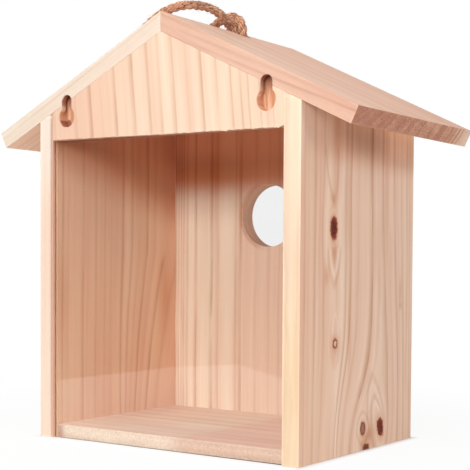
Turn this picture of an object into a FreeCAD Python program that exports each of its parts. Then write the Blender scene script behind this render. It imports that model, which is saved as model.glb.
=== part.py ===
import FreeCAD, Part
import math
import os

Vector = FreeCAD.Vector

# Window nest box of softwood boards, in millimetres.
# Origin under the middle of the roof on the ground, +Z up, -Y towards the window, +Y towards the birds' entrance.

# Boards
body_width = 166.0  # over the outer faces of the two sides
body_depth = 115.0  # from the window edge of the sides to the outer face of the front
side_height = 170.0  # of a side's outer face
side_board = 9.5
wall_board = 9.5  # front panel and gable
floor_board = 7.0
edge_round = 0.3  # sanded arris on every board

# Roof
roof_board = 9.0
roof_pitch = math.radians(25.7)
eave_overhang = 26.2  # level distance from a side's outer face to the eave's lower edge
front_overhang = 7.5  # the window end of the roof is flush with the sides

# Window
gable_drop = 11.0  # lower edge of the gable, below the top of a side's outer face
groove_land = 1.4  # wood left between the window edge and the pane's groove
groove_depth = 3.0
gable_groove_depth = 4.0
pane_thickness = 1.6
pane_play = 0.2  # clearance on each face of the pane in its groove
pane_gap = 0.4  # clearance at the pane's edges

# Entrance
entrance_diameter = 36.0
entrance_height = 122.0  # centre above the ground
entrance_offset = -4.8  # centre to the side of the wall's middle

# Keyholes: a round entry and a narrower slot above it, undercut behind a lip
keyhole_inset = 19.4  # centre line from a side's outer face
keyhole_lift = 1.5  # entry centre above the top of a side's outer face
keyhole_entry = 11.0
keyhole_slot = 7.0
keyhole_rise = 8.2
keyhole_lip = 3.0
keyhole_depth = 6.0

# Rope
rope_diameter = 4.3
rope_hole_diameter = 12.6
rope_hole_distance = 68.25  # hole's centre from the window end of the roof
rope_end_drop = 3.4  # both ends below the ridge's underside, in the knot
knot_diameter = 17.2
knot_gap = 0.3
tail_length = 15.0
tail_spread = math.radians(24.0)

# The rope's route from inside the hole, up, round the loop and back into the hole,
# measured from the middle of the hole at the top of the ridge. Its ends run straight down to the knot.
rope_route = [
    (-2.3, -3.0, -3.4),
    (-2.2, -3.6, 3.8),
    (-0.6, -12.0, 5.4),
    (0.6, -23.0, 9.0),
    (0.0, -36.0, 9.5),
    (-2.1, -49.8, 6.0),
    (-9.5, -58.5, 0.9),
    (-21.2, -59.7, -5.2),
    (-31.9, -53.0, -10.9),
    (-36.4, -40.3, -13.8),
    (-31.4, -27.8, -11.6),
    (-22.5, -18.0, -5.4),
    (-13.4, -9.6, 1.2),
    (-8.6, -2.6, 9.2),
    (-3.4, 1.6, 9.8),
    (-0.1, 3.5, 4.4),
    (-0.1, 3.2, -5.4),
]
run_share = 0.45  # of the shorter run, taken up by each arc

# Headless brads of flat wire
brad_width = 1.0
brad_thickness = 0.7
brad_length = 20.0
brad_fit = 0.05
brad_set = 0.6  # depth of a brad's end below the surface
floor_brad_count = 3
front_brad_count = 4
roof_brad_count = 3
brad_margin = 17.0  # from a board's ends to its first and last brad
gable_brad_lift = 5.5  # above the gable's lower edge
gable_brad_inset = 1.8  # from the gable's inner face, clear of the keyholes
roof_brad_places = (22.0, 44.0)  # from the ridge, into the gable and the front

# Places worked out from the sizes above
overrun = 1.0  # cutters start this far outside a face
half_width = body_width / 2
inner_width = half_width - side_board
roof_length = body_depth + front_overhang
window_face = -roof_length / 2
front_face = window_face + body_depth
front_inner_face = front_face - wall_board
gable_inner_face = window_face + wall_board
groove_start = window_face + groove_land
groove_end = groove_start + pane_thickness + 2 * pane_play
gable_bottom = side_height - gable_drop
slope = math.tan(roof_pitch)
roof_rise = roof_board / math.cos(roof_pitch)  # roof board measured straight up
rope_hole_place = window_face + rope_hole_distance


def under_roof(x):
    # Height of the roof's underside at a distance x from the middle.
    return side_height + (half_width - abs(x)) * slope


def over_roof(x):
    # Height of the roof's upper face at a distance x from the middle.
    return under_roof(x) + roof_rise


def prism(outline, start, end):
    # A closed outline of (x, z) points, extruded along Y.
    points = [Vector(x, start, z) for x, z in outline]
    points.append(points[0])
    return Part.Face(Part.makePolygon(points)).extrude(Vector(0, end - start, 0))


def eased(board):
    # A board with every arris rounded off.
    return board.makeFillet(edge_round, board.Edges)


def mirrored(shape):
    # The left-hand twin of a right-hand shape.
    return shape.mirror(Vector(0, 0, 0), Vector(1, 0, 0))


def box_between(low, high):
    # A block between two opposite corners.
    size = high - low
    return Part.makeBox(size.x, size.y, size.z, low)


def spread(start, end, count):
    # Evenly spaced places from start to end.
    step = (end - start) / (count - 1)
    return [start + step * index for index in range(count)]


# Keyholes

def stadium(x, low, high, width, start, end):
    # An upright round-ended slot between two centres, extruded along Y.
    reach = width / 2
    left = x - reach
    right = x + reach
    edges = [
        Part.LineSegment(Vector(left, start, low), Vector(left, start, high)),
        Part.Arc(Vector(left, start, high), Vector(x, start, high + reach), Vector(right, start, high)),
        Part.LineSegment(Vector(right, start, high), Vector(right, start, low)),
        Part.Arc(Vector(right, start, low), Vector(x, start, low - reach), Vector(left, start, low)),
    ]
    wire = Part.Wire([edge.toShape() for edge in edges])
    return Part.Face(wire).extrude(Vector(0, end - start, 0))


def keyhole():
    # What a keyhole bit removes on the right: round entry, lip slot and the wider undercut behind the lip.
    x = half_width - keyhole_inset
    low = side_height + keyhole_lift
    high = low + keyhole_rise
    mouth = window_face - overrun
    lip_end = window_face + keyhole_lip
    floor_face = window_face + keyhole_depth
    entry = Part.makeCylinder(
        keyhole_entry / 2, floor_face - mouth, Vector(x, mouth, low), Vector(0, 1, 0))
    lip_slot = stadium(x, low, high, keyhole_slot, mouth, lip_end)
    undercut = stadium(x, low, high, keyhole_entry, lip_end, floor_face)
    return entry.fuse([lip_slot, undercut]).removeSplitter()


# Brads

def flat_bar(start, inward, wide, width, thickness, length):
    # A straight bar of rectangular section from a point, its wider faces along one way.
    across = inward.cross(wide)
    corners = []
    for along, side in ((-1, -1), (1, -1), (1, 1), (-1, 1)):
        corners.append(start + wide * (along * width / 2) + across * (side * thickness / 2))
    corners.append(corners[0])
    return Part.Face(Part.makePolygon(corners)).extrude(inward * length)


def brad(start, inward, wide):
    # A brad driven from a point on the surface, and the hole that it makes.
    body = flat_bar(start + inward * brad_set, inward, wide, brad_width, brad_thickness, brad_length)
    hole_length = overrun + brad_set + brad_length + brad_fit
    hole = flat_bar(
        start - inward * overrun, inward, wide, brad_width + brad_fit, brad_thickness + brad_fit, hole_length)
    return body, hole


def side_brad_set():
    # Brads through the right side into the edges of the floor, the front and the gable.
    places = []
    for y in spread(groove_end + brad_margin, front_inner_face - brad_margin, floor_brad_count):
        places.append(Vector(half_width, y, floor_board / 2))
    for z in spread(brad_margin, side_height - brad_margin, front_brad_count):
        places.append(Vector(half_width, front_face - wall_board / 2, z))
    places.append(Vector(half_width, gable_inner_face - gable_brad_inset, gable_bottom + gable_brad_lift))
    return [brad(place, Vector(-1, 0, 0), Vector(0, 0, 1)) for place in places]


def roof_brad_set():
    # Brads straight down through the right roof board into the side, the gable and the front.
    places = []
    side_middle = half_width - side_board / 2
    for y in spread(window_face + brad_margin, front_inner_face - brad_margin, roof_brad_count):
        places.append(Vector(side_middle, y, over_roof(side_middle)))
    for x in roof_brad_places:
        places.append(Vector(x, gable_inner_face - gable_brad_inset, over_roof(x)))
        places.append(Vector(x, front_face - wall_board / 2, over_roof(x)))
    return [brad(place, Vector(0, 0, -1), Vector(1, 0, 0)) for place in places]


side_brads = side_brad_set()
roof_brads = roof_brad_set()
side_brad_bodies = [body for body, hole in side_brads]
roof_brad_bodies = [body for body, hole in roof_brads]
roof_brad_holes = [hole for body, hole in roof_brads]
right_brad_holes = [hole for body, hole in side_brads] + roof_brad_holes
all_brad_holes = right_brad_holes + [mirrored(hole) for hole in right_brad_holes]


# Boards

def right_side_panel():
    # Upright board, bevelled under the roof, with the pane's groove run through its length.
    board = eased(prism(
        [
            (inner_width, 0),
            (half_width, 0),
            (half_width, side_height),
            (inner_width, under_roof(inner_width)),
        ],
        window_face, front_face))
    groove = box_between(
        Vector(inner_width - overrun, groove_start, -overrun),
        Vector(inner_width + groove_depth, groove_end, under_roof(inner_width) + overrun))
    return board.cut([groove] + right_brad_holes)


def five_sided_board(bottom, start, end):
    # A board between the sides that fills the gable under the roof.
    shoulder = under_roof(inner_width)
    return eased(prism(
        [
            (-inner_width, bottom),
            (inner_width, bottom),
            (inner_width, shoulder),
            (0, under_roof(0)),
            (-inner_width, shoulder),
        ],
        start, end))


def front_panel():
    # Wall on the birds' side with the entrance.
    entrance = Part.makeCylinder(
        entrance_diameter / 2, wall_board + 2 * overrun,
        Vector(entrance_offset, front_inner_face - overrun, entrance_height), Vector(0, 1, 0))
    board = five_sided_board(0, front_inner_face, front_face)
    return board.cut([entrance] + all_brad_holes)


def rear_gable():
    # Strip over the window, grooved for the pane's upper edge, with both keyholes.
    groove = box_between(
        Vector(-half_width, groove_start, gable_bottom - overrun),
        Vector(half_width, groove_end, gable_bottom + gable_groove_depth))
    board = five_sided_board(gable_bottom, window_face, gable_inner_face)
    return board.cut([groove, keyhole(), mirrored(keyhole())] + all_brad_holes)


def floor_panel():
    # Board between the sides; its window edge stands just behind the pane.
    board = eased(box_between(
        Vector(-inner_width, groove_end, 0),
        Vector(inner_width, front_inner_face, floor_board)))
    return board.cut(all_brad_holes)


def right_roof_board():
    # Sloping board, mitred at the ridge and cut square at the eave.
    eave = half_width + eave_overhang
    eave_height = side_height - eave_overhang * slope
    board = eased(prism(
        [
            (0, under_roof(0)),
            (eave, eave_height),
            (eave + roof_board * math.sin(roof_pitch), eave_height + roof_board * math.cos(roof_pitch)),
            (0, over_roof(0)),
        ],
        window_face, window_face + roof_length))
    rope_hole = Part.makeCylinder(
        rope_hole_diameter / 2, over_roof(0), Vector(0, rope_hole_place, side_height))
    return board.cut([rope_hole, keyhole()] + roof_brad_holes)


# Pane

def viewing_pane():
    # Clear sheet held in the grooves of both sides and of the gable.
    reach = inner_width + groove_depth - pane_gap
    start = groove_start + pane_play
    return box_between(
        Vector(-reach, start, pane_gap),
        Vector(reach, start + pane_thickness, gable_bottom + gable_groove_depth - pane_gap))


# Rope

def rope_points():
    # The route's points in their place on the ridge, with both ends below them in the knot.
    points = [Vector(x, rope_hole_place + y, over_roof(0) + z) for x, y, z in rope_route]
    first, last = [Vector(at.x, at.y, under_roof(0) - rope_end_drop) for at in (points[0], points[-1])]
    return [first] + points + [last]


def hanging_rope():
    # A tube along straight runs joined by tangent arcs.
    points = rope_points()
    edges = []
    radii = []
    at = points[0]
    for before, corner, after in zip(points, points[1:], points[2:]):
        back = before - corner
        onward = after - corner
        tangent = run_share * min(back.Length, onward.Length)
        turn = math.pi - back.getAngle(onward)
        radius = tangent / math.tan(turn / 2)
        back.normalize()
        onward.normalize()
        towards_centre = back + onward
        towards_centre.normalize()
        arc_start = corner + back * tangent
        arc_end = corner + onward * tangent
        arc_middle = corner + towards_centre * (math.hypot(radius, tangent) - radius)
        edges.append(Part.LineSegment(at, arc_start).toShape())
        edges.append(Part.Arc(arc_start, arc_middle, arc_end).toShape())
        radii.append(radius)
        at = arc_end
    edges.append(Part.LineSegment(at, points[-1]).toShape())
    path = Part.Wire(edges)
    section = Part.Wire(Part.makeCircle(rope_diameter / 2, points[0], points[1] - points[0]))
    tube = path.makePipeShell([section], True, True)
    expected = math.pi * rope_diameter ** 2 / 4 * path.Length
    print("rope length", round(path.Length, 1), "volume over section times length", round(tube.Volume / expected, 4))
    print("rope radii in diameters", [round(radius / rope_diameter, 1) for radius in radii])
    return tube


def rope_knot():
    # Round stopper knot of both ends, pulled up under the hole's rim, with two cut tails.
    reach = knot_diameter / 2
    rim = rope_hole_diameter / 2
    rim_height = under_roof(rim)
    centre = Vector(0, rope_hole_place, rim_height - math.sqrt(reach ** 2 - rim ** 2) - knot_gap)
    top = rope_points()[0].z
    ball = Part.makeSphere(reach, centre)
    crown = box_between(
        Vector(-knot_diameter, centre.y - knot_diameter, top),
        Vector(knot_diameter, centre.y + knot_diameter, top + knot_diameter))
    tails = []
    for side in (-1, 1):
        way = Vector(0, side * math.sin(tail_spread), -math.cos(tail_spread))
        tails.append(Part.makeCylinder(rope_diameter / 2, reach + tail_length, centre, way))
    return ball.cut(crown).fuse(tails).removeSplitter()


def build():
    right_side = right_side_panel()
    right_roof = right_roof_board()
    nodes = {
        "left_side_panel": mirrored(right_side),
        "right_side_panel": right_side,
        "floor_panel": floor_panel(),
        "front_panel": front_panel(),
        "rear_gable": rear_gable(),
        "left_roof_board": mirrored(right_roof),
        "right_roof_board": right_roof,
        "viewing_pane": viewing_pane(),
        "hanging_rope": hanging_rope(),
        "rope_knot": rope_knot(),
        "left_side_brads": Part.makeCompound([mirrored(body) for body in side_brad_bodies]),
        "right_side_brads": Part.makeCompound(side_brad_bodies),
        "left_roof_brads": Part.makeCompound([mirrored(body) for body in roof_brad_bodies]),
        "right_roof_brads": Part.makeCompound(roof_brad_bodies),
    }
    os.makedirs("parts", exist_ok=True)
    for name, shape in nodes.items():
        shape.exportStep("parts/" + name + ".step")
        box = shape.BoundBox
        print(name, len(shape.Solids), "solids, valid", shape.isValid(), "volume", round(shape.Volume, 1),
              "size", round(box.XLength, 2), round(box.YLength, 2), round(box.ZLength, 2))


build()
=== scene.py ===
import bisect
import random
from math import cos, exp, hypot, pi, radians, sin, sqrt, tan, tau

import bmesh
import bpy
from mathutils import Matrix, Vector, noise


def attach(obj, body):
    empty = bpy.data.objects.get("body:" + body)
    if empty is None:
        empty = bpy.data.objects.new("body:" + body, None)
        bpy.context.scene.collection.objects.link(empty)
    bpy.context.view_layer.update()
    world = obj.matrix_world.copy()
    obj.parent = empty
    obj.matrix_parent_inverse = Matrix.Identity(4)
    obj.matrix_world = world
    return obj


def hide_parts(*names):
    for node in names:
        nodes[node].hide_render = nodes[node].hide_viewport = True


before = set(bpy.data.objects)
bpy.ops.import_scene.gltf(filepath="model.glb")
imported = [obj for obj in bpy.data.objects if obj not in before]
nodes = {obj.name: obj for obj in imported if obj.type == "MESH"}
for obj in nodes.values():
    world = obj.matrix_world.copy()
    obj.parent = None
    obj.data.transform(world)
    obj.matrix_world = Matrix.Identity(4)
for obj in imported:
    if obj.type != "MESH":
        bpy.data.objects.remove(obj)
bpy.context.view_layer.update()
mm = 0.001
print("frame loaded:", len(nodes), "nodes")


def tone(red, green, blue):
    # screen colour 0-255 to the linear colour that a shader takes
    linear = []
    for part in (red, green, blue):
        share = part / 255
        linear.append(share / 12.92 if share <= 0.04045 else ((share + 0.055) / 1.055) ** 2.4)
    return (*linear, 1.0)


def addObject(name, data, body=None):
    made = bpy.data.objects.new(name, data)
    bpy.context.scene.collection.objects.link(made)
    if body:
        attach(made, body)
    return made


def meshFromBmesh(name, shape, smooth=False):
    mesh = bpy.data.meshes.new(name)
    shape.to_mesh(mesh)
    shape.free()
    for face in mesh.polygons:
        face.use_smooth = smooth
    return mesh


def pushOut(shape, lifted, way):
    # moves what an extrusion has made
    moved = [part for part in lifted["geom"] if isinstance(part, bmesh.types.BMVert)]
    bmesh.ops.translate(shape, verts=moved, vec=way)


def coat(name, material):
    nodes[name].data.materials.clear()
    nodes[name].data.materials.append(material)


def looking(azimuth, elevation, roll=0):
    # turned to look from this side and height, degrees, 0 and 0 being level on the window side
    turn = Matrix.Rotation(radians(azimuth), 4, "Z") @ Matrix.Rotation(radians(90 - elevation), 4, "X")
    return turn @ Matrix.Rotation(radians(roll), 4, "Z")


# Camera

photoCamera = {
    "place": (366.57, -513.11, 96.15),  # mm
    "yaw": 34.461,  # degrees
    "pitch": 2.1766,
    "roll": 0.3596,
    "focal": 1155.88,  # pixels
    "middle": (252.23, 304.36),  # where the lens axis meets the picture, pixels
    "picture": 470,
    "sensor": 36.0,
}


def makeCamera(spec):
    lens = bpy.data.cameras.new("photo_camera")
    lens.sensor_width = spec["sensor"]
    lens.lens = spec["sensor"] * spec["focal"] / spec["picture"]
    lens.shift_x = 0.5 - spec["middle"][0] / spec["picture"]
    lens.shift_y = spec["middle"][1] / spec["picture"] - 0.5
    lens.clip_start = 0.01
    camera = addObject("photo_camera", lens)
    turn = looking(spec["yaw"], spec["pitch"], spec["roll"])
    camera.matrix_world = Matrix.Translation(Vector(spec["place"]) * mm) @ turn
    bpy.context.scene.camera = camera


makeCamera(photoCamera)
print("camera set")


# Shader sums

class Wire:
    def __init__(self, tree, out):
        self.tree = tree
        self.out = out

    def node(self, kind, settings=None, inputs=None, output=0):
        made = self.tree.nodes.new("ShaderNode" + kind)
        for name, value in (settings or {}).items():
            if name == "stops":
                fillRamp(made.color_ramp, value)
            else:
                setattr(made, name, value)
        for key, value in (inputs or {}).items():
            if isinstance(value, Wire):
                self.tree.links.new(value.out, made.inputs[key])
            else:
                made.inputs[key].default_value = value
        return Wire(self.tree, made.outputs[output])

    def other(self, output):  # another output of the same node
        return Wire(self.tree, self.out.node.outputs[output])

    def maths(self, operation, *values):
        return self.node("Math", {"operation": operation}, dict(enumerate(values)))

    def __add__(self, other):
        return self.maths("ADD", self, other)

    __radd__ = __add__

    def __sub__(self, other):
        return self.maths("SUBTRACT", self, other)

    def __rsub__(self, other):
        return self.maths("SUBTRACT", other, self)

    def __mul__(self, other):
        return self.maths("MULTIPLY", self, other)

    __rmul__ = __mul__

    def __truediv__(self, other):
        return self.maths("DIVIDE", self, other)

    def __pow__(self, other):
        return self.maths("POWER", self, other)

    def __abs__(self):
        return self.maths("ABSOLUTE", self)

    def rise(self, low, high):  # 0 below low, 1 above high, smooth between
        ends = {"Value": self, "From Min": low, "From Max": high}
        return self.node("MapRange", {"interpolation_type": "SMOOTHSTEP"}, ends)

    def noise(self, x, y, z, detail=2.0, rough=0.5):
        place = self.node("CombineXYZ", inputs={0: x, 1: y, 2: z})
        settings = {"Vector": place, "Scale": 1.0, "Detail": detail, "Roughness": rough}
        return self.node("TexNoise", inputs=settings)


def fillRamp(ramp, stops):
    while len(ramp.elements) < len(stops):
        ramp.elements.new(1.0)
    for element, (position, value) in zip(ramp.elements, stops):
        element.position = position
    for element, (position, value) in zip(ramp.elements, stops):
        element.color = (value, value, value, 1.0)


def blend(share, first, second, way="MIX"):
    wire = next(part for part in (share, first, second) if isinstance(part, Wire))
    return wire.node("Mix", {"data_type": "RGBA", "blend_type": way}, {0: share, 6: first, 7: second}, 2)


def newMaterial(name):
    # returns the material, its surface shader and the object coordinates
    material = bpy.data.materials.new(name)
    material.use_nodes = True
    tree = material.node_tree
    surface = next(node for node in tree.nodes if node.type == "BSDF_PRINCIPLED")
    place = Wire(tree, tree.nodes.new("ShaderNodeTexCoord").outputs["Object"])
    return material, surface, place


def feed(surface, **values):
    for key, value in values.items():
        socket = surface.inputs[key.replace("_", " ")]
        if isinstance(value, Wire):
            value.tree.links.new(value.out, socket)
        else:
            socket.default_value = value


def bumped(height, strength, distance):
    return height.node("Bump", inputs={"Strength": strength, "Distance": distance, "Height": height})


def millimetres(place):
    scaled = place.node("VectorMath", {"operation": "SCALE"}, {0: place, "Scale": 1 / mm})
    x = scaled.node("SeparateXYZ", inputs={0: scaled})
    return x, x.other(1), x.other(2)


def mixSurfaces(material, share, first, second):
    tree = material.node_tree
    output = next(node for node in tree.nodes if node.type == "OUTPUT_MATERIAL")
    mixed = share.node("MixShader", inputs={0: share, 1: first, 2: second})
    tree.links.new(mixed.out, output.inputs["Surface"])


# Rope

rope = {
    "holeTop": (0.0, 7.0, 219.94),  # middle of the hole at the top of the ridge, mm
    "endDrop": 13.39,  # rope ends below the ridge, in the knot
    "diameter": 4.3, "strands": 3, "strandRadius": 1.29, "strandOffset": 0.97,
    "layLength": 13.0, "yarnLay": -7.5,  # one full turn of a strand, and of its yarns the other way
    "yarns": 6, "cornersPerYarn": 4, "yarnDepth": 0.12,  # ridges round a strand
    "sway": (0.35, 0.10), "uneven": (0.5, 0.11),  # waves per mm and share, of place and thickness
    "stepsPerSpan": 22, "seed": 7,
    "looseAt": 20.0, "looseReach": 9.0, "looseSwell": 0.34,  # mm from each end, where the lay is loose
    "looseHairs": 260, "looseHairReach": 7.2,
    "hairs": 620, "hairRadius": 0.035, "hairLength": (1.2, 4.2), "hairRoot": 0.85,
    "hairLift": (0.15, 0.75), "hairSwing": 0.6, "hairCurl": (-0.3, 0.5),
    "frayHairs": 46, "frayReach": 0.9, "fraySpread": 0.35, "frayCurl": 0.1, "frayLength": (1.5, 3.2),
    "route": [  # mm from holeTop
        (-2.3, -3.0, -3.4), (-2.2, -3.6, 3.8), (-0.6, -12.0, 5.4), (0.6, -23.0, 8.5),
        (0.0, -36.0, 8.8), (-2.6, -49.8, 6.6), (-9.9, -57.8, 1.0), (-20.9, -57.4, -5.9),
        (-31.2, -51.4, -11.2), (-35.8, -39.6, -13.8), (-31.4, -27.8, -11.6), (-22.5, -18.0, -5.4),
        (-13.4, -9.6, 1.2), (-8.6, -2.9, 8.8), (-3.6, 0.9, 9.2), (-0.1, 2.9, 4.2), (-0.1, 3.0, -5.4),
    ],
}


def splinePoints(points, steps):
    # points along a smooth spline with these control points
    line = bpy.data.curves.new("route", "CURVE")
    line.dimensions = "3D"
    line.resolution_u = steps
    spline = line.splines.new("NURBS")
    spline.points.add(len(points) - 1)
    for point, place in zip(spline.points, points):
        point.co = (*place, 1.0)
    spline.order_u = 3
    spline.use_endpoint_u = True
    holder = bpy.data.objects.new("route", line)
    mesh = bpy.data.meshes.new_from_object(holder)
    found = [vertex.co.copy() for vertex in mesh.vertices]
    bpy.data.meshes.remove(mesh)
    bpy.data.curves.remove(line)
    return found


def runsAlong(points):
    # length of the line up to each point, mm
    runs = [0.0]
    for before, after in zip(points, points[1:]):
        runs.append(runs[-1] + (after - before).length / mm)
    return runs


def sideways(points):
    # two crosswise directions at each point, carried along without twist
    ways = [(after - before).normalized() for before, after in zip(points, points[1:])]
    ways.append(ways[-1])
    across = ways[0].orthogonal().normalized()
    found = []
    for way in ways:
        across = (across - way * across.dot(way)).normalized()
        found.append((across, way.cross(across)))
    return found


def yarnProfile(spec):
    # a strand's section: a circle with a ridge for each yarn
    line = bpy.data.curves.new("strand_section", "CURVE")
    line.dimensions = "2D"
    spline = line.splines.new("POLY")
    corners = spec["cornersPerYarn"] * spec["yarns"]
    spline.points.add(corners - 1)
    for index, point in enumerate(spline.points):
        angle = tau * index / corners
        reach = spec["strandRadius"] * mm * (1 + spec["yarnDepth"] * cos(spec["yarns"] * angle))
        point.co = (reach * cos(angle), reach * sin(angle), 0, 1)
    spline.use_cyclic_u = True
    return addObject("strand_section", line)


def strandMesh(points, spec, phase, draw, section):
    # one strand wound round the route
    line = bpy.data.curves.new("strand", "CURVE")
    line.dimensions = "3D"
    line.bevel_mode = "OBJECT"
    line.bevel_object = section
    line.use_fill_caps = True
    line.twist_mode = "MINIMUM"
    spline = line.splines.new("POLY")
    spline.points.add(len(points) - 1)
    drift = draw.uniform(0, 50)
    swayRate, sway = spec["sway"]
    unevenRate, uneven = spec["uneven"]
    runs = runsAlong(points)
    for point, place, run, (across, up) in zip(spline.points, points, runs, sideways(points)):
        angle = phase + tau * run / spec["layLength"]
        wobble = noise.noise((run * swayRate, drift, phase))
        beside = (min(run, runs[-1] - run) - spec["looseAt"]) / spec["looseReach"]
        swell = 1 + spec["looseSwell"] * exp(-beside * beside)
        reach = spec["strandOffset"] * mm * swell * (1 + sway * wobble)
        point.co = (*(place + (across * cos(angle) + up * sin(angle)) * reach), 1)
        point.radius = swell * (1 + uneven * noise.noise((run * unevenRate, phase, drift)))
        point.tilt = tau * run / spec["yarnLay"]
    holder = addObject("strand", line)
    mesh = bpy.data.meshes.new_from_object(holder.evaluated_get(bpy.context.evaluated_depsgraph_get()))
    bpy.data.curves.remove(line)
    markFibres(mesh, runs, spec["cornersPerYarn"] * spec["yarns"], drift)
    return mesh


def markFibres(mesh, runs, corners, drift):
    # place along and round the strand, for fibres that follow it
    layer = mesh.attributes.new("fibre", "FLOAT_VECTOR", "POINT")
    for index, entry in enumerate(layer.data):
        ring, corner = divmod(index, corners)
        angle = tau * corner / corners
        entry.vector = (cos(angle) + drift, sin(angle), runs[min(ring, len(runs) - 1)])


def ropeMesh(name, routes, spec, draw):
    # laid rope along each list of points, as one mesh
    section = yarnProfile(spec)
    shape = bmesh.new()
    for points in routes:
        turn = draw.uniform(0, tau)
        for strand in range(spec["strands"]):
            mesh = strandMesh(points, spec, turn + tau * strand / spec["strands"], draw, section)
            shape.from_mesh(mesh)
            bpy.data.meshes.remove(mesh)
    bpy.data.curves.remove(section.data)
    return meshFromBmesh(name, shape, smooth=True)


def hairMesh(name, points, spec, draw, count, loose=0, ends=()):
    # loose fibres that leave the rope's surface, and frayed ones at cut ends
    line = bpy.data.curves.new(name, "CURVE")
    line.dimensions = "3D"
    line.bevel_depth = spec["hairRadius"] * mm
    line.bevel_resolution = 0
    frames = sideways(points)
    radius = spec["diameter"] / 2 * mm
    runs = runsAlong(points)
    for index in range(count + loose):
        run = draw.uniform(0, runs[-1])
        if index < loose:
            run = draw.gauss(spec["looseAt"], spec["looseHairReach"])
            run = run if index % 2 else runs[-1] - run
        at = min(max(bisect.bisect(runs, run), 2), len(points) - 3)
        across, up = frames[at]
        angle = draw.uniform(0, tau)
        out = across * cos(angle) + up * sin(angle)
        way = (points[at + 1] - points[at]).normalized() * draw.choice((-1, 1))
        start = points[at] + out * radius * spec["hairRoot"]
        length = draw.uniform(*spec["hairLength"]) * mm
        lift = draw.uniform(*spec["hairLift"])
        swing = out.cross(way) * draw.uniform(-spec["hairSwing"], spec["hairSwing"])
        curl = out * draw.uniform(*spec["hairCurl"])
        addHair(line, start, way + out * lift + swing, curl, length)
    for place, way in ends:
        across = way.orthogonal().normalized()
        for index in range(spec["frayHairs"]):
            side = Matrix.Rotation(draw.uniform(0, tau), 3, way) @ across
            start = place + side * radius * sqrt(draw.random()) * spec["frayReach"]
            lean = side * draw.uniform(0, spec["fraySpread"])
            length = draw.uniform(*spec["frayLength"]) * mm
            addHair(line, start - way * mm, way + lean, side * spec["frayCurl"], length)
    holder = bpy.data.objects.new(name, line)
    mesh = bpy.data.meshes.new_from_object(holder)
    bpy.data.curves.remove(line)
    mesh.name = name
    return mesh


def addHair(line, start, way, curl, length, steps=3, taper=0.6):
    spline = line.splines.new("POLY")
    spline.points.add(steps)
    for step, point in enumerate(spline.points):
        share = step / steps
        place = start + way.normalized() * length * share + curl * length * share * share
        point.co = (*place, 1)
        point.radius = 1 - taper * share


def makeRope(spec):
    draw = random.Random(spec["seed"])
    top = Vector(spec["holeTop"])
    route = [(top + Vector(point)) * mm for point in spec["route"]]
    ends = [Vector((point.x, point.y, (top.z - spec["endDrop"]) * mm)) for point in (route[0], route[-1])]
    points = splinePoints([ends[0], *route, ends[1]], spec["stepsPerSpan"])
    length = runsAlong(points)[-1] * mm
    loop = addObject("rope_loop", ropeMesh("rope_loop", [points], spec, draw), "house")
    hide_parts("hanging_rope")
    loose = hairMesh("rope_fibres", points, spec, draw, spec["hairs"], spec["looseHairs"])
    hairs = addObject("rope_fibres", loose, "house")
    return loop, hairs, points, length


ropeLoop, ropeFibres, ropePoints, ropeLength = makeRope(rope)
print("rope laid:", round(ropeLength, 4), "m,", len(ropePoints), "points")


# Stopper knot under the ridge: both ends wrapped once round each other

knot = {
    "middle": (0.0, 7.0, 200.8),  # mm
    "core": (1.9, 2.0),  # standing parts: reach and height from the middle
    "foot": (1.3, 0.6),  # low down: share of that reach, and rise
    "wrapReach": 6.1, "wrapLow": -4.4, "wrapHigh": 3.6, "wrapTurns": 1.15, "wrapSteps": 9,
    "wrapPinch": 0.10,  # share of the reach, at its ends
    "tuck": (0.14, 2.6, 0.4),  # where an end goes in at the top: turn, reach, rise
    "tailSpread": 24.0,  # degrees
    "tailLength": 20.5, "tailShares": (0.0, 0.35, 0.7, 1.0), "tailStart": 1.0, "tailSag": 0.8,
    "stepsPerSpan": 10, "hairs": 120, "seed": 21,
}


def knotRoute(spec, start, side):
    # one end: down beside the core, round it on the outside, in at the top and down through the middle
    middle = Vector(spec["middle"])
    heading = pi / 2 * side
    core, top = spec["core"]
    foot, rise = spec["foot"]
    points = [start, middle + Vector((0, side * core, top))]
    points.append(middle + Vector((0, side * core * foot, spec["wrapLow"] + rise)))
    for step in range(spec["wrapSteps"] + 1):
        share = step / spec["wrapSteps"]
        angle = heading + tau * spec["wrapTurns"] * share
        height = spec["wrapLow"] + (spec["wrapHigh"] - spec["wrapLow"]) * share
        reach = spec["wrapReach"] * (1 - spec["wrapPinch"] * cos(tau * share))
        points.append(middle + Vector((reach * cos(angle), reach * sin(angle), height)))
    turn, reach, rise = spec["tuck"]
    last = heading + tau * (spec["wrapTurns"] + turn)
    points.append(middle + Vector((reach * cos(last), reach * sin(last), spec["wrapHigh"] + rise)))
    spread = radians(spec["tailSpread"])
    way = Vector((0, side * sin(spread), -cos(spread)))
    for share in spec["tailShares"]:
        sag = Vector((spec["tailSag"] * side * sin(pi * share), 0, 0))
        points.append(middle + way * (spec["tailLength"] * share + spec["tailStart"]) + sag)
    return [point * mm for point in points], way


def makeKnot(spec, ropeSpec, points):
    draw = random.Random(spec["seed"])
    starts = sorted((points[0], points[-1]), key=lambda place: place.y)
    routes = []
    cutEnds = []
    for start, side in zip(starts, (-1, 1)):
        control, way = knotRoute(spec, start / mm, side)
        line = splinePoints(control, spec["stepsPerSpan"])
        routes.append(line)
        cutEnds.append((line[-1], way))
    tied = addObject("tied_knot", ropeMesh("tied_knot", routes, ropeSpec, draw), "house")
    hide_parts("rope_knot")
    loose = hairMesh("knot_fibres", routes[0] + routes[1], ropeSpec, draw, spec["hairs"], ends=cutEnds)
    return tied, addObject("knot_fibres", loose, "house")


tiedKnot, knotFibres = makeKnot(knot, rope, ropePoints)
print("knot tied")


# Jute

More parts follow.
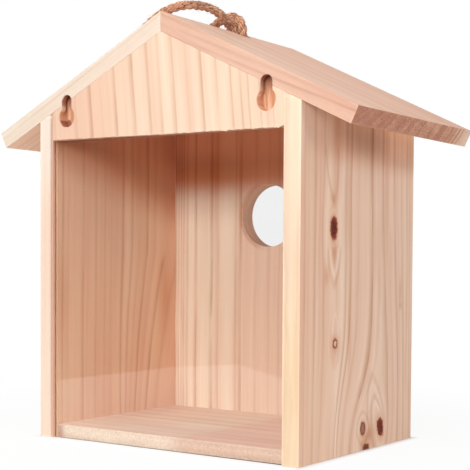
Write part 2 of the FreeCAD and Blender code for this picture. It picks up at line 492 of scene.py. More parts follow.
jute = {
    "shade": tone(68, 31, 16),
    "body": tone(192, 131, 97),
    "straw": tone(238, 194, 156),
    "fibreScale": 2.4,  # round the strand
    "fibreRun": 0.22,  # along it, per mm
    "fineScale": 7.2,
    "fineRun": 0.44,
    "tuftScale": 0.55,  # per mm
}


def juteMaterial(spec):
    material, surface, place = newMaterial("jute")
    tuft = place.noise(*(side * spec["tuftScale"] for side in millimetres(place)), 3.0, 0.6)
    strand = place.node("Attribute", {"attribute_name": "fibre"}, output="Vector")
    a = strand.node("SeparateXYZ", inputs={0: strand})
    b, run = a.other(1), a.other(2)
    size = spec["fibreScale"]
    thread = a.noise(a * size, b * size, run * spec["fibreRun"], 4.0, 0.65)
    size = spec["fineScale"]
    fine = a.noise(a * size, b * size, run * spec["fineRun"] + tuft)
    mixed = thread * 0.6 + fine * 0.25 + tuft * 0.15
    colour = blend(mixed.rise(0.39, 0.53), spec["shade"], spec["body"])
    colour = blend(mixed.rise(0.50, 0.59) * 0.95, colour, spec["straw"])
    colour = blend(tuft.rise(0.35, 0.65) * 0.25, colour, spec["body"])
    rough = 0.95 - thread * 0.15
    feed(surface, Base_Color=colour, Roughness=rough, Normal=bumped(thread * 0.6 + fine * 0.4, 0.9, 0.0005))
    feed(surface, Specular_IOR_Level=0.15, Sheen_Weight=0.25, Sheen_Roughness=0.6)
    return material


juteFinish = juteMaterial(jute)
for piece in (ropeLoop, ropeFibres, tiedKnot, knotFibres):
    piece.data.materials.append(juteFinish)
print("jute done")


# Softwood boards: u runs across a board's face, v through it and w along its grain, in mm

wood = {
    "cream": tone(247, 217, 190), "blush": tone(239, 197, 171), "pale": tone(254, 233, 211),
    "late": tone(192, 132, 96), "heart": tone(214, 150, 112),
    "endGrain": tone(150, 92, 70), "endPale": tone(220, 168, 138), "endRed": tone(158, 86, 66),
    "knotDark": tone(72, 22, 10), "knotRed": tone(136, 54, 34), "knotBrown": tone(166, 112, 82),
    # the last colour on the next line is painted shade for the top of the keyholes' slots
    "knotRim": tone(116, 58, 38), "sawn": tone(206, 142, 102), "burnt": tone(128, 40, 8),
    "lineEnd": 0.5,  # mm from a line's darkest place to clear wood
    "marksPerRamp": 10, "rampMargin": 8,  # mm beyond a ramp's outer lines
    "knotPower": 2.4, "leafPower": 1.4,  # of outlines, 2 being an ellipse
    "rimEnd": (0.82, 1.14), "halo": (0.9, 2.1, 0.45),  # in and round a knot, its outline being 1
}

grainScales = {  # per mm along u, v and w, which of them the seed shifts, detail, roughness
    "drift": (0.012, 0.02, 0.006, 0), "wave": (0.09, 0.09, 0.03, 1, 3.0),
    "ragged": (0.8, 0.3, 0.5, 2, 4.0, 0.6), "patchy": (0.15, 0.15, 0.022, 2, 3.0),
    "bands": (0.09, 0.05, 0.006, 0, 3.0), "flush": (0.17, 0.1, 0.009, 0, 3.0),
    "fibre": (1.7, 1.7, 0.02, 2, 3.0, 0.6), "streak": (0.42, 0.42, 0.008, 2, 3.0, 0.55),
    "fleck": (4.5, 4.5, 0.10, None), "speck": (1.1, 1.1, 1.1, None, 4.0, 0.7),
    "blotch": (0.12, 0.25, 0.02, 0),
}

roofPitch = radians(25.7)
downRight = (cos(roofPitch), 0, -sin(roofPitch))
downLeft = (-cos(roofPitch), 0, -sin(roofPitch))
upright = (0, 0, 1)

# along, across, origin: direction of w and of u and their zero, where not up, front to back and 0
# face, pith, box: v of the shown face, u and v of the rings' middle, the board's limits
# tint, outerTint, edgeTint: of the shown face, the other face and the edge at the lowest u
# edgeShades: w from none to full, tint; shades, mostly painted shade and light on the shown face: w from
# none to full, slope, u likewise or None, tint
# warmth: u from none to full, share of blush; flush: share of reddish streaks
# lean: sideways per mm, its fan, the w where it is none; wander: how far the grain drifts
# marks and paleMarks: u of a dark or pale line of growth, strength, width

rightSide = {
    "face": -83, "pith": (-150, -130),
    "box": ((-61.25, 53.75), (-83, -73.5), (0, 172)), "tint": (0.88, 0.86, 0.875),
    "warmth": (-22, -10, 0.25), "flush": 0.3, "wear": 0.12,
    "edgeTint": (0.83, 0.91, 0.92), "edgeShades": [(105, 45, (1, 0.985, 0.90))],
    # painted shade under the eave, eased again near the roof, and painted light at the far end
    "shades": [
        (120, 152, 0, (30, 5), (0.91, 0.925, 0.94)), (138, 153, 0, (-50, -28), (0.86, 0.70, 0.61)),
        (157, 167, 0, (-50, -28), (1.22, 1.24, 1.17)), (146, 156, 0, (2, 40), (1.46, 1.6, 1.65)),
    ],
    "wander": 1.2, "seed": 3,
    "marks": [
        (-56.5, 0.35, 2), (-47.3, 0.6, 3), (-42.5, 0.2, 2), (-39, 0.5, 3), (-17.4, 0.6, 3),
        (-12.6, 0.65, 2.5), (-5, 0.15, 4), (8.6, 0.95, 4), (13, 0.1, 3), (20, 0.65, 3.5), (25, 0.15, 3),
        (31.8, 0.6, 2.5), (36, 0.2, 2), (39.8, 0.45, 1.5), (45.8, 0.5, 2), (49.5, 0.35, 2),
    ],
    "paleMarks": [
        (-50.5, 0.3, 2), (-22, 0.5, 4), (12, 0.5, 2.5), (16, 0.3, 4), (28, 0.5, 3), (36.5, 0.4, 2.5),
        (44, 0.5, 2),
    ],
    "knots": [  # at, half size, lean, rim, core (colour, share, reach), push (reach, part, lift), darkness
        ((-30.7, 112), (3.4, 5.6), 0, "knotRed", ("knotDark", 0.95, 0.9), ((8, 17), 0.25, 5), 1),
        ((-28.6, 56), (2.3, 2.5), 0, "knotRed", ("pale", 0.7, 0.65), ((6, 12), 0.3, 2), 0.8),
        ((-0.2, 11.3), (2.7, 3.5), 0, "knotRim", ("knotBrown", 0.95, 0.88), ((6, 8), 0.4, 0), 0.95),
        ((3.2, 0.8), (3.5, 2.6), 0, "knotRed", ("knotDark", 0.75, 0.95), ((6, 6), 0.3, 0), 0.9),
        ((18.3, 10), (3.5, 4.9), 0.16, "knotRed", ("knotDark", 0.8, 0.95), ((7, 15), 0.2, -9), 1),
    ],
    "pushes": [((-8, 0), ((26, 37), 0, 21)), ((31, 20), ((15, 65), 0, -9))],  # at, push
    "flames": [  # at, half size, lean, upper half 1, lower half -1 or whole 0, colour, share, width
        ((-30.7, 112), (5.4, 8.6), 0, 0, "pale", 0.45, 0.30),
        ((-33.2, 152), (5.8, 27.5), 0.10, -1, "late", 0.30, 0.22),
        ((-30, 104), (5.8, 19.5), 0, -1, "late", 0.30, 0.26),
        ((-30, 104), (4, 14.5), 0, -1, "pale", 0.55, 0.35),
        ((-28.6, 57), (4.6, 12), 0, 0, "heart", 0.16, 0.35),
        ((-28.6, 60), (3, 10), 0, 1, "pale", 0.45, 0.35),
        ((17, 10), (4.9, 13.5), 0.30, 1, "pale", 0.85, 0.20),
        ((16.4, 10), (6.6, 17), 0.30, 1, "late", 0.26, 0.20),
        ((15, 10), (9.2, 28), 0.22, 1, "late", 0.24, 0.18),
        ((15.6, 10), (7.8, 23), 0.26, 1, "pale", 0.30, 0.20),
        ((-0.2, 11.3), (4.5, 5.8), 0, 0, "pale", 0.55, 0.25),
        ((-0.2, 11.3), (6.2, 8.6), 0, 0, "late", 0.24, 0.20),
    ],
    "stains": [  # at, half size, colour, share
        ((-30, 101), (3, 7.5), "heart", 0.70), ((-31.2, 126.5), (2.4, 2.6), "heart", 0.40),
        ((-37.2, 89), (2.4, 5), "heart", 0.55), ((-28.7, 54.5), (3.8, 6.5), "heart", 0.55),
        ((39.6, 80), (1.5, 8), "heart", 0.45), ((39.7, 72.5), (1.6, 1.8), "late", 0.3),
        ((-14.6, 62), (2, 22), "heart", 0.45), ((-16.4, 120), (1.6, 26), "heart", 0.35),
        ((4, 7.5), (5, 3.4), "heart", 0.6), ((9, 9.5), (3, 6), "heart", 0.3),
        ((-52, 90), (9, 120), "heart", 0.3), ((-27.5, 20), (1, 24), "pale", 0.6),
        ((-3, 28), (1.2, 16), "pale", 0.3),
    ],
}

leftSide = {
    "face": 73.5, "pith": (-150, 30),
    "box": ((-61.25, 53.75), (73.5, 83), (0, 172)), "tint": (1, 0.92, 0.86), "warmth": (24, 40, 0.5),
    "outerTint": (0.87, 0.84, 0.85),
    "edgeTint": (0.82, 0.85, 0.91), "edgeShades": [(120, 160, (1, 1.1, 1.18))],
    "lip": (73.2, 76.6, (0.48, 0.24, 0.17)),  # painted shade of the groove: v from full to none along the near edge, tint
    "plain": ((28, 33), (92, 102)),  # u and w above which there are no dark lines
    # painted shade high inside the box, sloping down towards the back like the gable's shadow, eased near
    # the top
    "shades": [
        (120.5, 148.5, 0.3, None, (0.72, 0.50, 0.40)), (148.5, 162.5, 0.3, None, (1.17, 1.15, 1.15)),
    ],
    "lean": (0, 0.0046, 10), "wander": 0.8, "seed": 11,
    "marks": [
        (-53.4, 0.5, 1.5), (-49, 0.25, 1.5), (-37, 0.5, 2.5), (-27, 0.3, 2), (-19.5, 0.25, 2),
        (-14, 0.2, 2), (-5.6, 0.65, 1.6), (-1, 0.4, 1.6), (3, 0.2, 2), (7.4, 0.6, 1.8), (12, 0.2, 2),
        (17.3, 0.75, 2.2), (26, 0.2, 2),
    ],
    "paleMarks": [(-30, 0.3, 3), (-3.4, 0.45, 1.6), (13.5, 0.2, 2)],
    "stains": [
        ((34.5, 76), (6, 24), "heart", 0.50), ((1.5, 94), (2, 26), "pale", 0.45),
        ((3, 100), (7, 45), "pale", 0.25), ((-54, 74), (5, 30), "heart", 0.35),
    ],
}

frontWall = {
    "across": (1, 0, 0), "face": 44.25, "pith": (-160, 90),
    # tint above 1 on the inner face: partly paler wood, partly painted light inside the box
    "box": ((-73.5, 73.5), (44.25, 53.75), (0, 230)), "tint": (1.03, 1.14, 1.18), "warmth": (-32, -20, 0.7),
    "outerTint": (0.87, 0.85, 0.84), "wear": 0,
    # painted shade high inside the box, lighter towards the right and near the top
    "shades": [
        (114, 134, 0, None, (0.83, 0.78, 0.78)), (130, 146, 0, None, (0.69, 0.33, 0.19)),
        (148, 166, 0, None, (1.42, 1.6, 1.9)), (130, 146, 0, (-42, -12), (1.22, 1.45, 1.65)),
        (154, 164, 0, (-42, -12), (0.90, 0.84, 0.76)),
    ],
    "wander": 0.8, "seed": 23,
    "marks": [
        (-72.4, 0.9, 1), (-70, 0.5, 1), (-68.2, 0.6, 1), (-66.3, 0.55, 1.5), (-63.5, 0.45, 1.5),
        (-57, 0.7, 2), (-45, 0.8, 3), (-40.5, 0.4, 3), (-27.5, 0.5, 2), (-24, 0.8, 3), (-13.5, 0.35, 2),
        (-4, 0.2, 3), (3, 0.35, 2), (18, 0.5, 3), (30, 0.4, 2), (41, 0.6, 3), (52, 0.4, 2),
        (64, 0.5, 3),
    ],
    "paleMarks": [(-69.2, 0.5, 0.8), (-61, 0.5, 3), (-53, 0.5, 4), (-48, 0.4, 3), (-34, 0.5, 5)],
    "stains": [((-43.6, 145), (2.4, 32), "heart", 0.35), ((-24.5, 140), (2.6, 34), "heart", 0.12)],
    # deep: v over which painted shade darkens the bore's wall
    "hole": {"at": (-4.8, 122), "radius": 18, "deep": (48, 52), "skin": (44.4, 44.8)},
}

gable = {
    "across": (1, 0, 0), "face": -61.25, "pith": (-150, -10),
    "box": ((-73.5, 73.5), (-61.25, -51.75), (159, 230)), "tint": (0.78, 0.775, 0.77),
    "warmth": (-10, -45, 0.75), "wear": 0.08,
    "paintedShadeFringe": (159, 1.9, (0.5, 0.9), (0.40, 0.22, 0.14)),  # painted shade: lower edge, less at the right, reach, tint
    "lean": (0.09, 0, 175), "wander": 0.6, "seed": 31,
    "marks": [
        (-72, 0.35, 2), (-56.5, 0.3, 3), (-46, 0.7, 2.5), (-38.5, 0.2, 2), (-29, 0.7, 2.5),
        (-16.7, 0.7, 3), (-6.5, 0.5, 2), (1, 0.45, 2.5), (9.5, 0.5, 3), (18, 0.25, 2), (27, 0.6, 2.5),
        (35.8, 0.4, 2), (44, 0.5, 1.5), (49.5, 0.5, 1.2), (53.7, 0.4, 1.2), (60, 0.35, 1.2),
        (63.5, 0.25, 1), (67, 0.35, 1.2),
    ],
    "paleMarks": [(-12, 0.3, 4), (4, 0.4, 3), (13, 0.3, 3), (22, 0.3, 3), (32, 0.3, 3), (40, 0.3, 3)],
}

floorBoard = {
    "along": (1, 0, 0), "face": 7, "pith": (-40, 60),
    # tint above 1 on the top: partly paler wood, partly painted light inside the box
    "box": ((-57.85, 44.25), (0, 7), (-73.5, 73.5)), "tint": (1.10, 1.2, 1.27), "warmth": (-20, 40, 0.3),
    "edgeTint": (0.90, 0.92, 0.92), "edgeRough": 0.9,
    "edgeShades": [
        (14, 0, (1.08, 1.15, 1.18)), (0, 14, (0.93, 0.86, 0.84)), (-67, -71, (0.76, 0.6, 0.56)),
    ],
    # a pinker tone at the right, and painted shade along the left wall
    "shades": [(5, 17, 0, None, (0.99, 0.88, 0.87)), (-44, -66, 0, (-40, -10), (0.94, 0.89, 0.90))],
    "lean": (0.02, 0, 0), "wander": 1.5, "seed": 43,
    "marks": [
        (-52, 0.3, 2), (-46, 0.25, 2), (-33, 0.35, 3), (-22, 0.25, 2), (-8, 0.35, 3), (3, 0.3, 2),
        (17, 0.35, 2), (30, 0.3, 2),
    ],
    "paleMarks": [(-40, 0.3, 4), (-15, 0.3, 4), (10, 0.3, 4)],
    "stains": [((30, 0), (16, 40), "pale", 0.4), ((-20, -6), (14, 16), "pale", 0.4)],
}

rightRoof = {
    "along": downRight, "origin": (0, 0, 209.95), "face": 9, "pith": (-95, -42),
    "box": ((-61.25, 61.25), (0, 9), (-4, 121.2)), "tint": (0.742, 0.666, 0.66), "warmth": (-60, 60, 0.5),
    "edgeTint": (0.665, 0.56, 0.56), "wear": 0.06, "lean": (-0.078, 0, 60), "wander": 1.2, "seed": 57,
    "marks": [
        (-71.2, 0.45, 1.2), (-64.4, 0.25, 1.5), (-58, 0.4, 2), (-51, 0.42, 2), (-44, 0.3, 2),
        (-35, 0.4, 3), (-25, 0.3, 2), (-14, 0.42, 3), (-3, 0.3, 2), (9, 0.4, 3), (22, 0.3, 2),
        (34, 0.42, 3), (45, 0.3, 2), (55, 0.4, 2),
    ],
    "paleMarks": [(-54, 0.3, 3), (-30, 0.3, 4), (-8, 0.3, 4), (28, 0.3, 4)],
}

leftRoof = {
    "along": downLeft, "origin": (0, 0, 209.95), "face": -9, "pith": (-90, 46),
    "box": ((-61.25, 61.25), (-9, 0), (-4, 121.2)), "tint": (1, 0.97, 0.95), "warmth": (-60, 60, 0.3),
    "edgeTint": (0.745, 0.86, 0.945), "wear": 0.06, "lean": (0.03, 0, 60), "wander": 1.2, "seed": 71,
    "marks": [
        (-66, 0.35, 1.2), (-59, 0.3, 1.5), (-52, 0.45, 2), (-43, 0.4, 2), (-33, 0.5, 3), (-22, 0.4, 2),
        (-12, 0.45, 2), (-1, 0.4, 2), (10, 0.5, 3), (23, 0.4, 2), (36, 0.5, 3), (47, 0.4, 2),
        (56, 0.5, 2),
    ],
    "paleMarks": [(-56, 0.3, 2), (-38, 0.3, 4), (-6, 0.3, 4), (30, 0.3, 4)],
}

boards = {
    "right_side_panel": rightSide, "left_side_panel": leftSide, "front_panel": frontWall,
    "rear_gable": gable, "floor_panel": floorBoard,
    "right_roof_board": rightRoof, "left_roof_board": leftRoof,
}

keyholes = {
    "at": (63.6, 175.6),  # |x| and z of the middle, mm
    "size": (6.6, 11.5),
    "depth": (-61.0, -60.2),  # y where the cut begins and ends
    "back": (-54.0, -53.0),
    "height": (174.5, 185.0),  # z from brown to dark: painted shade towards the slot's top
    "stripe": 0.45,  # share of pale streaks
    "paintedShadeSpot": ((-67.6, 168.4), (2.0, 2.6)),  # painted shade in the left keyhole's lower left: its middle and half size
}


def boardAxes(place, board):
    along = Vector(board.get("along", upright))
    across = Vector(board.get("across", (0, 1, 0)))
    turn = Matrix((across, along.cross(across), along)).transposed().to_euler()
    start = Vector(board.get("origin", (0, 0, 0))) * mm
    settings = {"Vector": place, "Location": start, "Rotation": turn, "Scale": (mm, mm, mm)}
    local = place.node("Mapping", {"vector_type": "TEXTURE"}, settings)
    u = local.node("SeparateXYZ", inputs={0: local})
    return along, (u, u.other(1), u.other(2))


def grainNoise(name, axes, seed):
    *scales, moved = grainScales[name][:4]
    parts = [axis * scale for axis, scale in zip(axes, scales)]
    if moved is not None:
        parts[moved] = parts[moved] + seed
    return parts[0].noise(*parts, *grainScales[name][4:])


def ringLines(rings, board, key, end):
    # a band at each mark: a slow rise to it, then its end, which is as long as the rise where end is None
    total = None
    size = wood["marksPerRamp"]
    margin = wood["rampMargin"]
    pithU, pithV = board["pith"]
    deep = board["face"] - pithV
    marks = sorted((hypot(place - pithU, deep), dark, width) for place, dark, width in board[key])
    for first in range(0, len(marks), size):
        group = marks[first:first + size]
        low, high = group[0][0] - margin, group[-1][0] + margin
        stops = []
        clear = low
        for reach, dark, width in group:
            begin = max(reach - width, clear)
            clear = reach + (end or width)
            stops += [(begin, 0.0), (reach, dark), (clear, 0.0)]
        stops = [((place - low) / (high - low), value) for place, value in stops]
        lines = rings.node("ValToRGB", {"stops": stops}, {0: (rings - low) / (high - low)})
        total = lines if total is None else total.maths("MAXIMUM", total, lines)
    return total


def mound(u, w, place, size, tilt=0, beside=2.0, along=2.0):
    # 0 in the middle, 1 on the outline: an ellipse, or with other powers an oblong or a leaf
    if tilt:
        u = u + (w - place[1]) * tilt
    return (abs(u - place[0]) / size[0]) ** beside + (abs(w - place[1]) / size[1]) ** along


def fade(value):
    # 1 at 0, less as the value grows
    return value.maths("EXPONENT", value * -1.0)


def edgeDistance(sides, box):
    # distance from the nearest arris of a board, mm
    first, second, third = (
        side.maths("MINIMUM", abs(side - low), abs(side - high)) for side, (low, high) in zip(sides, box))
    return first.maths(
        "MAXIMUM", first.maths("MINIMUM", first, second),
        first.maths("MINIMUM", first.maths("MAXIMUM", first, second), third))


def ramp(value, start, end):
    # 0 at the start, 1 at the end, either way round
    share = value.rise(min(start, end), max(start, end))
    return share if start < end else 1 - share


def stained(colour, share, name):
    return blend(share, colour, wood[name])


def tinted(colour, share, shade):
    return blend(share, colour, blend(1.0, colour, (*shade, 1.0), "MULTIPLY"))


def grainDrift(axes, board):
    # how far the grain wanders sideways, and how knots push it aside
    u, v, w = axes
    lean, fan, level = board.get("lean", (0, 0, 0))
    wander = board["wander"]
    drift = (grainNoise("drift", axes, board["seed"]) - 0.5) * (4 * wander)
    drift = drift + (grainNoise("wave", axes, board["seed"]) - 0.5) * wander
    if fan:
        reach = u.maths("MAXIMUM", u + 8.0, 0.0)
        drift = drift - (w.maths("MINIMUM", w, 100.0) - level) * reach * fan
    if lean:
        drift = drift + (w - level) * lean
    pushes = [(mark[0], mark[5]) for mark in board.get("knots", ())] + board.get("pushes", [])
    for spot, (reach, part, lift) in pushes:
        drift = drift + fade(mound(u, w, spot, reach)) * (lift - (u - spot[0]) * part)
    return drift


def growth(axes, rings, patchy, board):
    # dark lines of late wood, pale ones of early wood
    u, v, w = axes
    late = ringLines(rings, board, "marks", wood["lineEnd"]) * patchy.rise(0.15, 0.6)
    if "plain" in board:
        side, height = board["plain"]
        late = late * (1 - u.rise(*side) * w.rise(*height))
    early = ringLines(rings, board, "paleMarks", None) * (1 - patchy.rise(0.35, 0.8) * 0.7)
    return late, early


def bareWood(axes, shifted, ragged, patchy, late, early, board):
    # broad bands, streaks, pale growth, stains, the figure round knots, dark growth
    u, v, w = axes
    start, end, warm = board["warmth"]
    bands = grainNoise("bands", (shifted, v, w), board["seed"]).rise(0.32, 0.72)
    colour = blend(bands * 0.65, wood["cream"], wood["blush"])
    colour = stained(colour, ramp(u, start, end) * warm, "blush")
    if "flush" in board:
        flush = grainNoise("flush", (shifted, v, w), board["seed"]).rise(0.50, 0.70)
        colour = stained(colour, flush * board["flush"], "heart")
    colour = stained(colour, early, "pale")
    for spot, size, shade, share in board.get("stains", ()):
        cover = fade(mound(u + ragged * 2.0, w, spot, size) + ragged)
        colour = stained(colour, cover * share, shade)
    for spot, size, tilt, half, shade, share, width in board.get("flames", ()):
        off = (mound(u + ragged, w, spot, size, tilt, wood["leafPower"]) - 1 + ragged * 0.15) / width
        line = fade(off * off) * patchy.rise(0.1, 0.5)
        if half:
            line = line * ((w - spot[1]) * half).rise(-1.0, 4.0)
        colour = stained(colour, line * share, shade)
    return stained(colour, late * 0.8, "late")


def shaded(colour, axes, ragged, nearEdge, board):
    # tints of the near edge and the two faces, painted shade and light on the shown one, and painted shade
    # along the groove lip and the gable's lower edge
    u, v, w = axes
    edge = board["box"][0][0]
    flat = 1 - nearEdge
    deep = abs(v - board["face"])
    outer = deep.rise(2.0, 6.0)
    inner = (1 - deep.rise(0.3, 1.0)) * flat
    colour = tinted(colour, nearEdge, board.get("edgeTint", board["tint"]))
    for start, end, shade in board.get("edgeShades", ()):
        colour = tinted(colour, ramp(w, start, end) * nearEdge, shade)
    colour = tinted(colour, outer * flat, board.get("outerTint", board["tint"]))
    colour = tinted(colour, (1 - outer) * flat, board["tint"])
    # the shown face's shades: mostly painted shade and light
    for low, high, slope, side, shade in board.get("shades", ()):
        cover = ramp(w + u * slope, low, high) * inner
        colour = tinted(colour, cover * ramp(u, *side) if side else cover, shade)
    # painted shade of the groove behind the near edge
    if "lip" in board:
        low, high, shade = board["lip"]
        inset = v + ragged + (1 - w.rise(0.0, 75.0)) * 0.2
        cover = (1 - inset.rise(low, high)) * (1 - u.rise(edge + 0.9, edge + 1.4))
        colour = tinted(colour, cover, shade)
    # painted shade along the gable's lower edge, where the dark inside shows below it
    if "paintedShadeFringe" in board:
        level, rest, (low, high), shade = board["paintedShadeFringe"]
        height = w - level + ragged * 1.5 + u.rise(-75.0, 65.0) * rest
        colour = tinted(colour, 1 - height.rise(low, high), shade)
    return colour


def knotted(colour, axes, speck, ragged, board):
    # a stained halo, the knot's rim and its mottled core
    u, v, w = axes
    power = wood["knotPower"]
    haloStart, haloEnd, haloShare = wood["halo"]
    for spot, size, tilt, rim, (shade, share, reach), push, dark in board.get("knots", ()):
        heart = mound(u, w, spot, size, tilt, power, power) ** (1 / power) + ragged * 1.4
        colour = stained(colour, (1 - heart.rise(haloStart, haloEnd)) * haloShare * dark, "heart")
        colour = stained(colour, (1 - heart.rise(*wood["rimEnd"])) * dark, rim)
        core = (1 - heart.rise(reach * 0.5, reach)) * share
        colour = stained(colour, core * speck.rise(0.28, 0.56), shade)
    return colour


def endGrain(axes, shifted, speck, board):
    # speckled, red at the near end and paler at the far one, with slanting strokes
    u, v, w = axes
    pithU, pithV = board["pith"]
    blotch = grainNoise("blotch", axes, board["seed"])
    mottle = speck.rise(0.36, 0.64) * 0.65 + blotch.rise(0.3, 0.7) * 0.35
    colour = blend(mottle, wood["endGrain"], wood["endPale"])
    colour = stained(colour, (1 - u.rise(-60.0, 20.0)) * 0.6, "endRed")
    colour = stained(colour, u.rise(5.0, 40.0) * 0.35, "endPale")
    colour = stained(colour, u.rise(36.0, 62.0) * 0.6, "pale")
    rayed = ((shifted - pithU) ** 2.0 + (v + pithV - 18.0) ** 2.0) ** 0.5
    strokes = u.noise(rayed * 0.30, board["seed"], w * 0.02, 3.0, 0.7).rise(0.50, 0.58)
    return stained(colour, strokes * 0.65, "endRed")


def sawnHole(colour, axes, speck, hole):
    # the entrance's sawn wall with saw marks round it and painted shade deep in the bore and in its upper
    # half, and a torn rim on one side
    u, v, w = axes
    middle, level = hole["at"]
    reach = ((u - middle) ** 2.0 + (w - level) ** 2.0) ** 0.5 - hole["radius"]
    wall = 1 - reach.rise(0.03, 0.10)
    colour = stained(colour, wall * 0.85, "blush")
    saw = u.noise(v * 1.7, u * 0.06, w * 0.06).rise(0.48, 0.66)
    # painted shade deeper in the bore and in its upper half, with saw marks
    dark = v.rise(*hole["deep"]) * w.rise(level - 16, level) * 0.25 + saw * 0.3
    colour = stained(colour, wall * dark, "sawn")
    torn = (1 - reach.rise(1.2, 3.4)) * (1 - v.rise(*hole["skin"])) * (1 - u.rise(middle - 14, middle))
    return stained(colour, torn * (speck.rise(0.35, 0.65) * 0.4 + 0.6) * 0.6, "late")


def keyholeCut(place, seed, spec):
    # where the keyholes are cut, and the colour of the cut, with painted shade towards the slot's top and
    # at one spot in the left keyhole
    x, y, z = millimetres(place)
    cut = 1 - mound(abs(x), z, spec["at"], spec["size"]).rise(0.95, 1.1)
    cut = cut * y.rise(*spec["depth"]) * (1 - y.rise(*spec["back"]))
    stripe = x.noise(x * 0.42, seed, z * 0.05).rise(0.42, 0.66)
    colour = blend(stripe * spec["stripe"], wood["sawn"], wood["pale"])
    # painted shade: darker towards the slot's top, and at one spot in the left keyhole
    colour = stained(colour, z.rise(*spec["height"]), "burnt")
    paintedShadeSpot = 1 - mound(x, z, *spec["paintedShadeSpot"]).rise(0.5, 1.3)
    return cut, stained(colour, paintedShadeSpot * 0.8, "burnt")


def woodMaterial(name, board):
    material, surface, place = newMaterial(name)
    along, axes = boardAxes(place, board)
    u, v, w = axes
    seed = board["seed"]
    speck = grainNoise("speck", axes, seed)
    patchy = grainNoise("patchy", axes, seed)
    ragged = (grainNoise("ragged", axes, seed) - 0.5) * 0.6
    shifted = u + grainDrift(axes, board)
    drifted = (shifted, v, w)

    # growth rings round the pith, tints, fibres and knots
    pithU, pithV = board["pith"]
    rings = ((shifted - pithU) ** 2.0 + (v - pithV) ** 2.0) ** 0.5
    late, early = growth(axes, rings, patchy, board)
    colour = bareWood(axes, shifted, ragged, patchy, late, early, board)
    edge = board["box"][0][0]
    nearEdge = 1 - u.rise(edge + 0.05, edge + 0.55)
    colour = shaded(colour, axes, ragged, nearEdge, board)
    fibre = grainNoise("fibre", drifted, seed)
    fleck = grainNoise("fleck", drifted, seed).rise(0.62, 0.80)
    grey = 0.85 + fibre * 0.14 + grainNoise("streak", drifted, seed) * 0.16 - fleck * 0.05
    grey = grey + nearEdge * (speck - 0.5) * board.get("edgeRough", 0.12)
    colour = knotted(blend(1.0, colour, grey, "MULTIPLY"), axes, speck, ragged, board)

    # sawn ends, worn arrises, the entrance's wall and the cut of the keyholes
    facing = place.other("Normal")
    sawn = facing.node("VectorMath", {"operation": "DOT_PRODUCT"}, {0: facing, 1: along}, "Value")
    ended = abs(sawn).rise(0.6, 0.9)
    colour = blend(ended * 0.8, colour, endGrain(axes, shifted, speck, board))
    worn = 1 - (edgeDistance(axes, board["box"]) + ragged).rise(0.2, 1.1)
    colour = stained(colour, worn * board.get("wear", 0.3), "pale")
    if "hole" in board:
        colour = sawnHole(colour, axes, speck, board["hole"])
    cut, cutColour = keyholeCut(place, seed, keyholes)
    colour = blend(cut * 0.92, colour, cutColour)

    rough = 0.60 + fibre * 0.15 - late * 0.12 + ended * 0.12 + cut * 0.15
    height = fibre * 0.5 + late * 0.2 + speck * (ended + cut) * 0.8 + worn * 0.4
    feed(surface, Base_Color=colour, Roughness=rough, Normal=bumped(height, 0.35, 0.0003))
    feed(surface, Specular_IOR_Level=0.2)
    return material


for boardName, board in boards.items():
    coat(boardName, woodMaterial("wood_" + boardName, board))
print("boards finished:", len(boards))


# Torn fibres along the sawn lower edge of the gable

tornEdge = {
    "span": (-72.5, 72.9), "front": -61.2, "top": 159.1, "thickness": 0.8, "lap": 0.1,  # mm
    "steps": 420, "seed": 5.0,
    "depth": (-0.25, 0.75),  # hang at the left and the right end
    "broad": (0.55, 0.24), "fine": (0.70, 1.1),  # how much it varies and waves per mm
}


def makeTornEdge(spec):
    shape = bmesh.new()
    bmesh.ops.create_grid(shape, x_segments=spec["steps"], y_segments=1, size=0.5)
    left, right = spec["span"]
    first, last = spec["depth"]
    broad, broadRate = spec["broad"]
    fine, fineRate = spec["fine"]
    for vertex in shape.verts:
        share = vertex.co.x + 0.5
        x = left + (right - left) * share
        hang = first + (last - first) * share + broad * noise.noise((x * broadRate, spec["seed"], 0))
        hang += fine * noise.noise((x * fineRate, 0, spec["seed"]))
        low = spec["lap"] + max(hang, 0.0) if vertex.co.y < 0 else 0.0
        vertex.co = Vector((x, spec["front"], spec["top"] - low)) * mm
    lifted = bmesh.ops.extrude_face_region(shape, geom=shape.faces[:])
    pushOut(shape, lifted, (0, spec["thickness"] * mm, 0))
    bmesh.ops.recalc_face_normals(shape, faces=shape.faces[:])
    piece = addObject("gable_torn_edge", meshFromBmesh("gable_torn_edge", shape), "house")
    piece.data.materials.append(nodes["rear_gable"].data.materials[0])


makeTornEdge(tornEdge)
print("torn edge added")


# Filler over the sunk brads, flush with the boards

filler = {
    "width": 1.02, "thickness": 0.72, "depth": 0.5, "grid": (4, 3),  # of a plug, mm
    "sunk": 0.04, "uneven": 0.05, "unevenRate": 3, "seedStep": 3.7,  # below the surface; waves per mm
    "side": 83.0,
    "sideY": (-40.85, -6.8, 27.25), "floorZ": 3.5,  # into the floor
    "frontY": 49.0, "sideZ": (17.0, 62.33, 107.67, 153.0),
    "gablePlace": (-53.55, 164.5),
    "roofX": 78.25, "roofY": (-44.25, -8.5, 27.25),  # into the sides
    "ridgeX": (22.0, 44.0), "ridgeY": (-53.55, 49.0),  # into the gable and the front
    "roofTop": 219.933,
}


